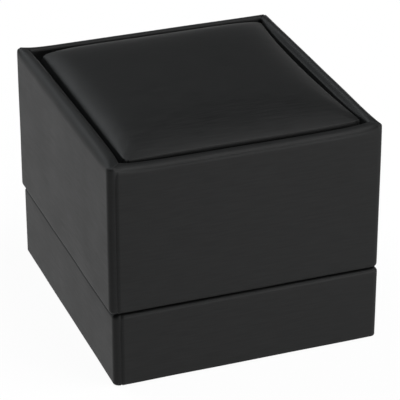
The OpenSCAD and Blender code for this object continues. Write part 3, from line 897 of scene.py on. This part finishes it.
# ---- Lining and satin pad in the lid ----
# Ivory satin over a card that lines the lid's walls, and a satin pad over wadding on its
# own card, glued under the top board. The pad faces the ring.

SATIN_IVORY = (0.78, 0.75, 0.68, 1)
SATIN_SHADE = (0.66, 0.62, 0.54, 1)
SATIN_GLOSS = 0.6
SATIN_STRETCH = 0.6
SATIN_SHEEN = 0.3
SATIN_SMOOTH, SATIN_ROUGH = 0.34, 0.44
# Its threads and slubs: how many to the metre, their relief in metres and their lengthening
THREADS_PER_METRE, THREAD_DEPTH = 5200, 0.000010
THREADS_LENGTHENED = (0.08, 1, 1)
SLUBS_PER_METRE, SLUB_DEPTH = 700, 0.000012
SLUBS_LENGTHENED = (0.05, 1, 1)

# The lining with its card, in millimetres
LINER_T = 0.8
LINER_EDGE_FLAT = 0.05
LINER_R = 0.3
LINER_FOLD_R = 0.2
# The satin pad: its crown, the room left for its swelling, and how far it swells
SATIN_PAD_RISE = 2.2
SATIN_PAD_ROOM = 0.3
SATIN_PAD_PRESSURE, SATIN_PAD_SWELL = 3, 0.4


def satin():
    """Ivory satin: a close weave with its long threads on the face."""
    material, tree, shader = new_finish("ivory_satin", SATIN_SMOOTH)
    shader.inputs["Specular IOR Level"].default_value = SATIN_GLOSS
    shader.inputs["Anisotropic"].default_value = SATIN_STRETCH
    shader.inputs["Sheen Weight"].default_value = SATIN_SHEEN
    shader.inputs["Sheen Roughness"].default_value = SHEEN_ROUGH
    sheet = add(tree, "ShaderNodeUVMap", uv_map="sheet").outputs["UV"]
    along = add(tree, "ShaderNodeTangent", direction_type="UV_MAP", uv_map="sheet")
    tree.links.new(along.outputs["Tangent"], shader.inputs["Tangent"])
    threads = speckle(tree, sheet, THREADS_PER_METRE, 2, stretch=THREADS_LENGTHENED)
    slubs = speckle(tree, sheet, SLUBS_PER_METRE, 3, stretch=SLUBS_LENGTHENED)
    tree.links.new(two_tone(tree, threads, 0.3, 0.6, SATIN_SHADE, SATIN_IVORY),
                   shader.inputs["Base Color"])
    tree.links.new(spread(tree, slubs, SATIN_SMOOTH, SATIN_ROUGH), shader.inputs["Roughness"])
    emboss(tree, shader, (slubs, SLUB_DEPTH), (threads, THREAD_DEPTH))
    return material


ivory_satin = satin()
liner_low, liner_high = (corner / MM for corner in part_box("lid_liner"))
liner_levels = laid_over(liner_high.z, liner_low.z, LINER_T, LINER_T / 2 - LINER_EDGE_FLAT)
bm, *_ = wrap_round(liner_low, liner_high, liner_levels, corner_rs=(LINER_R,) * 4,
                    fold_r=LINER_FOLD_R)
# Its upper edge is closed, as the card inside it isn't a piece of its own
bmesh.ops.bridge_loops(bm, edges=[e for e in bm.edges if e.is_boundary])
bmesh.ops.recalc_face_normals(bm, faces=bm.faces)
lid_lining = finish_piece("lid_lining", bm, ivory_satin, "lid")
lid_lining.modifiers.new("flat_faces", "WEIGHTED_NORMAL")
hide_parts("lid_liner")

pad_low, pad_high = (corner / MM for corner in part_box("lid_pad"))
# The pad is made face up and turned over
turned_low = Vector((pad_low.x, pad_low.y, -pad_high.z))
turned_high = Vector((pad_high.x, pad_high.y, -pad_low.z - SATIN_PAD_ROOM))
bm = stuffed(turned_low, turned_high, SATIN_PAD_RISE, PAD_DRAWS, cells=(50, 54), side_rows=3)
swell(bm, SATIN_PAD_PRESSURE, SATIN_PAD_SWELL, stiffness=8, wrinkle=0.1)
bmesh.ops.scale(bm, vec=(1, 1, -1), verts=bm.verts)
bmesh.ops.recalc_face_normals(bm, faces=bm.faces)
satin_pad = finish_piece("satin_pad", bm, ivory_satin, "lid")
soften(satin_pad)
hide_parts("lid_pad")

# ---- Cushion on the lid ----
# Foam on a card, covered in the same leatherette, which is turned under the card and
# glued. The cushion is let into the recess with a narrow gap round it.

FOAM_PALE = (0.80, 0.77, 0.68, 1)
FOAM_CELL = (0.62, 0.58, 0.48, 1)
FOAM_CELLS_PER_METRE, FOAM_DEPTH = 2200, 0.00006

# The crown's height, how far each side is drawn in (right, back, left, front), and where
# each corner's tip is pulled to (right front, right back, left back, left front)
CUSHION_RISE = 2.4
CUSHION_DRAWS = (1.1, 0.3, 0.2, 0.1)
CUSHION_PULLS = ((0.4, 0.8), (0.5, -0.2), (0.5, -0.9), (0.8, -0.4))
# How flat the crown's middle is, and how fast its edge falls
CUSHION_FLAT = 6.5
CUSHION_EDGE = 0.5
# The same at the front, where it falls away sooner, without rolling over
CUSHION_FRONT = (4.6, 0.9)
CUSHION_HEM = 7.0
CUSHION_PRESSURE, CUSHION_SWELL = 3, 0.06
# The cover is drawn thinner than it is on the walls
DRAWN_THIN = 0.9

pale_foam = pulp_board("pale_foam", FOAM_CELL, FOAM_PALE, FOAM_CELLS_PER_METRE, FOAM_DEPTH)
foam_low, foam_high = (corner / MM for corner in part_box("cushion_foam"))
bm = stuffed(foam_low, foam_high, CUSHION_RISE, CUSHION_DRAWS, cells=(40, 42), side_rows=3,
             flat=CUSHION_FLAT, edge=CUSHION_EDGE, pulls=CUSHION_PULLS, front=CUSHION_FRONT)
foam_block = finish_piece("foam_block", bm, pale_foam, "lid")
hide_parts("cushion_foam")

cover_low, cover_high = (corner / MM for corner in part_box("cushion_cover"))
bm = stuffed(cover_low, cover_high, CUSHION_RISE, CUSHION_DRAWS, cells=(60, 64), side_rows=6,
             hem=CUSHION_HEM, flat=CUSHION_FLAT, edge=CUSHION_EDGE, pulls=CUSHION_PULLS,
             front=CUSHION_FRONT)
swell(bm, CUSHION_PRESSURE, CUSHION_SWELL)
cushion = finish_piece("cushion", bm, black_leatherette, "lid")
wall = cushion.modifiers.new("thickness", "SOLIDIFY")
wall.thickness = SHEET_T * DRAWN_THIN * MM
wall.offset = -1
soften(cushion)
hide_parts("cushion_cover")

# ---- Studio ----
# A white sweep that curves up all round, soft lamps over and beside it, and the camera
# where the photographer stood.

# The sweep's flat part and its sides, and each step of its curve: how much wider it gets,
# and how many metres higher
SWEEP_FLAT = 1.6
SWEEP_SIDES = 96
SWEEP_CURVE = ((1.08, 0.02), (1.06, 0.06), (1.03, 0.12), (1.01, 0.15))
# The sweep lies this far under the box's foot, so that the two never share one plane
SWEEP_DROP = 0.00005
FLOOR_WHITE = (0.82, 0.82, 0.82, 1)
FLOOR_ROUGH = 0.9
# Share of pure white in what the camera and the reflections see of it
WHITENESS = 0.95


def white_sweep():
    """A pale floor that shows white to the camera and in reflections, and keeps a shadow."""
    material, tree, shader = new_finish("white_sweep", FLOOR_ROUGH)
    shader.inputs["Base Color"].default_value = FLOOR_WHITE
    shader.inputs["Specular IOR Level"].default_value = 0
    glow = add(tree, "ShaderNodeEmission", {"Color": (1, 1, 1, 1), "Strength": 1.0})
    ray = add(tree, "ShaderNodeLightPath")
    seen = add(tree, "ShaderNodeMath", operation="MAXIMUM")
    tree.links.new(ray.outputs["Is Camera Ray"], seen.inputs[0])
    tree.links.new(ray.outputs["Is Glossy Ray"], seen.inputs[1])
    seen_all = add(tree, "ShaderNodeMath", operation="MAXIMUM")
    tree.links.new(seen.outputs["Value"], seen_all.inputs[0])
    tree.links.new(ray.outputs["Is Transmission Ray"], seen_all.inputs[1])
    share = add(tree, "ShaderNodeMath", {1: WHITENESS}, operation="MULTIPLY")
    tree.links.new(seen_all.outputs["Value"], share.inputs[0])
    mix = add(tree, "ShaderNodeMixShader")
    tree.links.new(share.outputs["Value"], mix.inputs["Fac"])
    tree.links.new(shader.outputs["BSDF"], mix.inputs[1])
    tree.links.new(glow.outputs["Emission"], mix.inputs[2])
    # The sweep is clear from under it, so that the box's foot can be looked at
    clear = add(tree, "ShaderNodeBsdfTransparent")
    faced = add(tree, "ShaderNodeMixShader")
    tree.links.new(add(tree, "ShaderNodeNewGeometry").outputs["Backfacing"], faced.inputs[0])
    tree.links.new(mix.outputs["Shader"], faced.inputs[1])
    tree.links.new(clear.outputs["BSDF"], faced.inputs[2])
    tree.links.new(faced.outputs["Shader"], tree.nodes["Material Output"].inputs["Surface"])
    return material


bm = bmesh.new()
bmesh.ops.create_circle(bm, cap_ends=True, radius=SWEEP_FLAT, segments=SWEEP_SIDES)
for outward, upward in SWEEP_CURVE:
    _, points = draw_out(bm, [e for e in bm.edges if e.is_boundary])
    bmesh.ops.scale(bm, vec=(outward, outward, 1), verts=points)
    bmesh.ops.translate(bm, vec=(0, 0, upward), verts=points)
bmesh.ops.translate(bm, vec=(0, 0, -SWEEP_DROP), verts=bm.verts)
mesh = bpy.data.meshes.new("sweep")
bm.to_mesh(mesh)
bm.free()
mesh.materials.append(white_sweep())
sweep = bpy.data.objects.new("sweep", mesh)
bpy.context.scene.collection.objects.link(sweep)

# Each lamp: where it stands as (azimuth, elevation, distance), its width and height in
# metres, its power in watts and its colour. Azimuth 0 is in front and 90 is to the right.
LAMPS = {
    "front_box": (30, 6, 1.0, 0.5, 0.5, 7.9, (1.0, 1.0, 1.0)),
    "overhead": (60, 72, 1.0, 0.5, 0.5, 4.4, (1.0, 1.0, 1.0)),
    "high_right": (60, 50, 1.0, 0.5, 0.5, 4.2, (1.0, 1.0, 1.0)),
    "back_left": (-150, 50, 1.0, 0.5, 0.5, 5.4, (0.97, 1.0, 1.02)),
    "window_left": (-150, 28, 1.0, 0.5, 0.5, 1.2, (0.93, 1.0, 1.03)),
}
ROOM_GREY = (0.02, 0.02, 0.02, 1)
LOOKED_AT = (0, 0, 0.025)


def stand_at(azimuth, elevation, distance, aim=LOOKED_AT):
    """A place round the object, and the turn that faces it."""
    turn, tilt = math.radians(azimuth), math.radians(elevation)
    back = Vector((math.sin(turn) * math.cos(tilt), -math.cos(turn) * math.cos(tilt),
                   math.sin(tilt)))
    return Vector(aim) + back * distance, back.to_track_quat("Z", "Y")


for name, (azimuth, elevation, distance, width, height, watts, colour) in LAMPS.items():
    lamp = bpy.data.lights.new(name, "AREA")
    lamp.shape = "RECTANGLE"
    lamp.size, lamp.size_y = width, height
    lamp.energy = watts
    lamp.color = colour
    holder = bpy.data.objects.new(name, lamp)
    holder.rotation_mode = "QUATERNION"
    holder.location, holder.rotation_quaternion = stand_at(azimuth, elevation, distance)
    bpy.context.scene.collection.objects.link(holder)

world = bpy.data.worlds.new("room")
world.use_nodes = True
world.node_tree.nodes["Background"].inputs["Color"].default_value = ROOM_GREY
bpy.context.scene.world = world
bpy.context.scene.view_settings.view_transform = "Standard"

# The camera, as it was fitted to the photo, in degrees and metres
VIEW_AZIMUTH = -20.554
VIEW_ELEVATION = 27.305
VIEW_DISTANCE = 0.46015
VIEW_AIM = (0.001129, -0.00035, 0.021556)
LENS = 202.061

camera = bpy.data.objects.new("camera", bpy.data.cameras.new("camera"))
camera.data.lens = LENS
camera.rotation_mode = "QUATERNION"
camera.location, camera.rotation_quaternion = stand_at(
    VIEW_AZIMUTH, VIEW_ELEVATION, VIEW_DISTANCE, VIEW_AIM)
bpy.context.scene.collection.objects.link(camera)
bpy.context.scene.camera = camera
